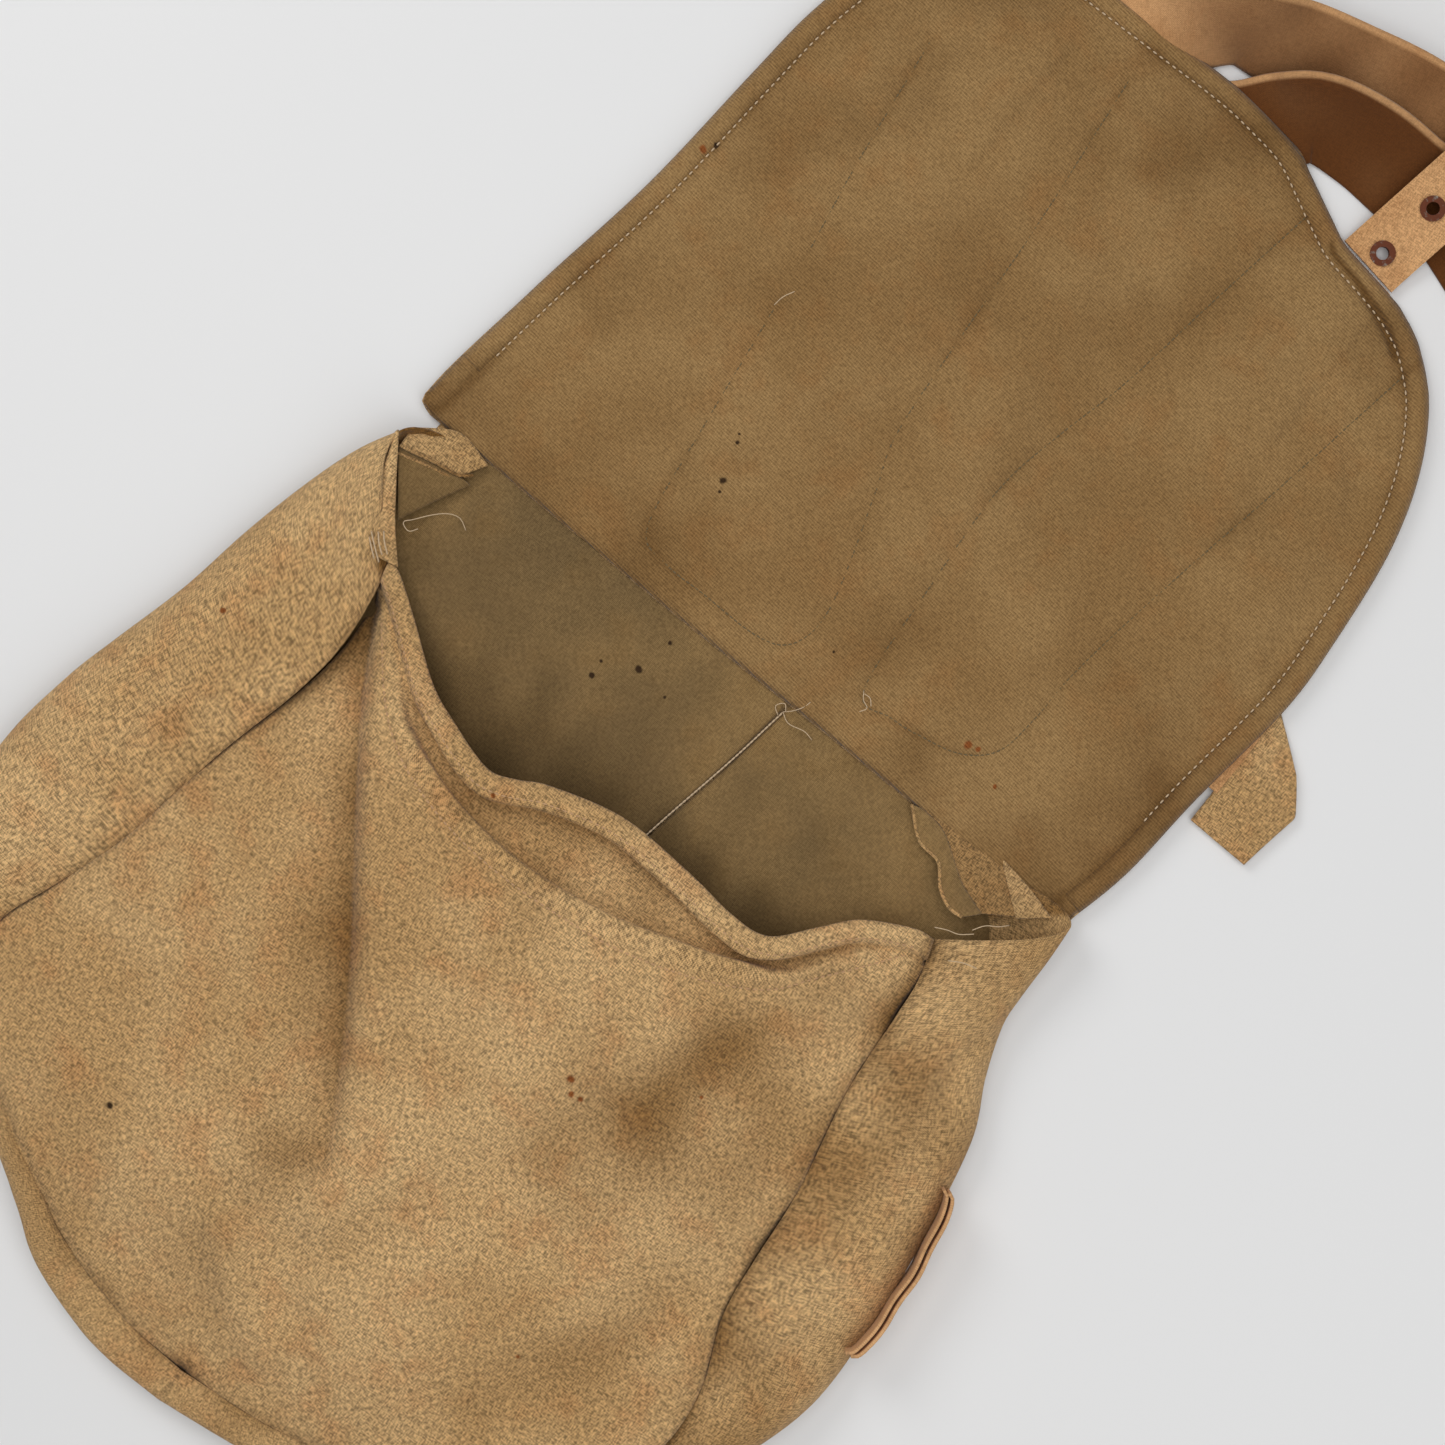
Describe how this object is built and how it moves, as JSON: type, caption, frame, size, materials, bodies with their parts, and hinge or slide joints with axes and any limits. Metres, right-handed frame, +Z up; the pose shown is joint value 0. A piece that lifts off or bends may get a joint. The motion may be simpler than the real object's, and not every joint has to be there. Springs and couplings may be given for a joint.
{
  "type": "mail sack",
  "caption": "Canvas mail satchel lying open on its back: gusseted sack, hinged flap, webbing shoulder straps with eyelets and a tongue buckle.",
  "frame": {"origin": "on the floor, under the middle of the overall box", "axes": "+Y from the sack's bottom towards the flap's free end, +X across, +Z up from the floor; the sack lies on its back panel with its flap folded open"},
  "size_m": [0.5462, 1.0544, 0.0562],
  "materials": {
    "canvas": "plain-weave cotton canvas, sun-faded and stained",
    "lining": "fine cotton drill, grey-olive, mottled",
    "webbing": "folded cotton webbing with a corded edge",
    "rusted_steel": "rusted, dull"
  },
  "bodies": {
    "sack": {"back_lining_left": "lining", "back_lining_right": "lining", "back_panel": "canvas", "front_facing": "canvas", "front_panel": "canvas", "gusset_left": "canvas", "gusset_right": "canvas", "side_loop": "webbing"},
    "flap": {"buckle_chape": "webbing", "flap_hem": "canvas", "flap_lining": "lining", "flap_outer": "canvas", "long_strap": "webbing", "long_strap_sewn_end": "webbing", "side_tab_sewn_end": "webbing", "strap_patch_left": "canvas", "strap_patch_right": "canvas", "tail_sewn_end": "webbing"},
    "tail": {"eyelet_1": "rusted_steel", "eyelet_2": "rusted_steel", "eyelet_3": "rusted_steel", "eyelet_4": "rusted_steel", "eyelet_5": "rusted_steel", "eyelet_washer_1": "rusted_steel", "eyelet_washer_2": "rusted_steel", "eyelet_washer_3": "rusted_steel", "eyelet_washer_4": "rusted_steel", "eyelet_washer_5": "rusted_steel", "tail_strap": "webbing"},
    "side_tab": {"side_tab": "webbing"},
    "buckle_frame": {"buckle_frame": "rusted_steel"},
    "buckle_prong": {"buckle_prong": "rusted_steel"},
    "strap_keeper": {"strap_keeper": "webbing"}
  },
  "joints": [
    {"name": "flap_fold", "type": "hinge", "parent": "sack", "child": "flap", "pos_m": [-0.00195, -0.0392, 0.00519], "axis": [1, 0, 0], "range_deg": [0, 150]},
    {"name": "tail_fold", "type": "hinge", "parent": "flap", "child": "tail", "pos_m": [0.12005, 0.3268, 0.00379], "axis": [0.9877, -0.1564, 0], "range_deg": [0, 60]},
    {"name": "side_tab_fold", "type": "hinge", "parent": "flap", "child": "side_tab", "pos_m": [0.23305, 0.0798, 0.00379], "axis": [0, -1, 0], "range_deg": [0, 75]},
    {"name": "buckle_swivel", "type": "hinge", "parent": "flap", "child": "buckle_frame", "pos_m": [-0.21049, 0.35407, 0.00689], "axis": [0.4067, 0.9135, 0], "range_deg": [0, 65]},
    {"name": "prong_pivot", "type": "hinge", "parent": "buckle_frame", "child": "buckle_prong", "pos_m": [-0.21049, 0.35407, 0.00689], "axis": [0.4067, 0.9135, 0], "range_deg": [0, 50]},
    {"name": "keeper_slide", "type": "slide", "parent": "flap", "child": "strap_keeper", "axis": [0.9135, -0.4067, 0], "range_m": [0, 0.01]}
  ]
}
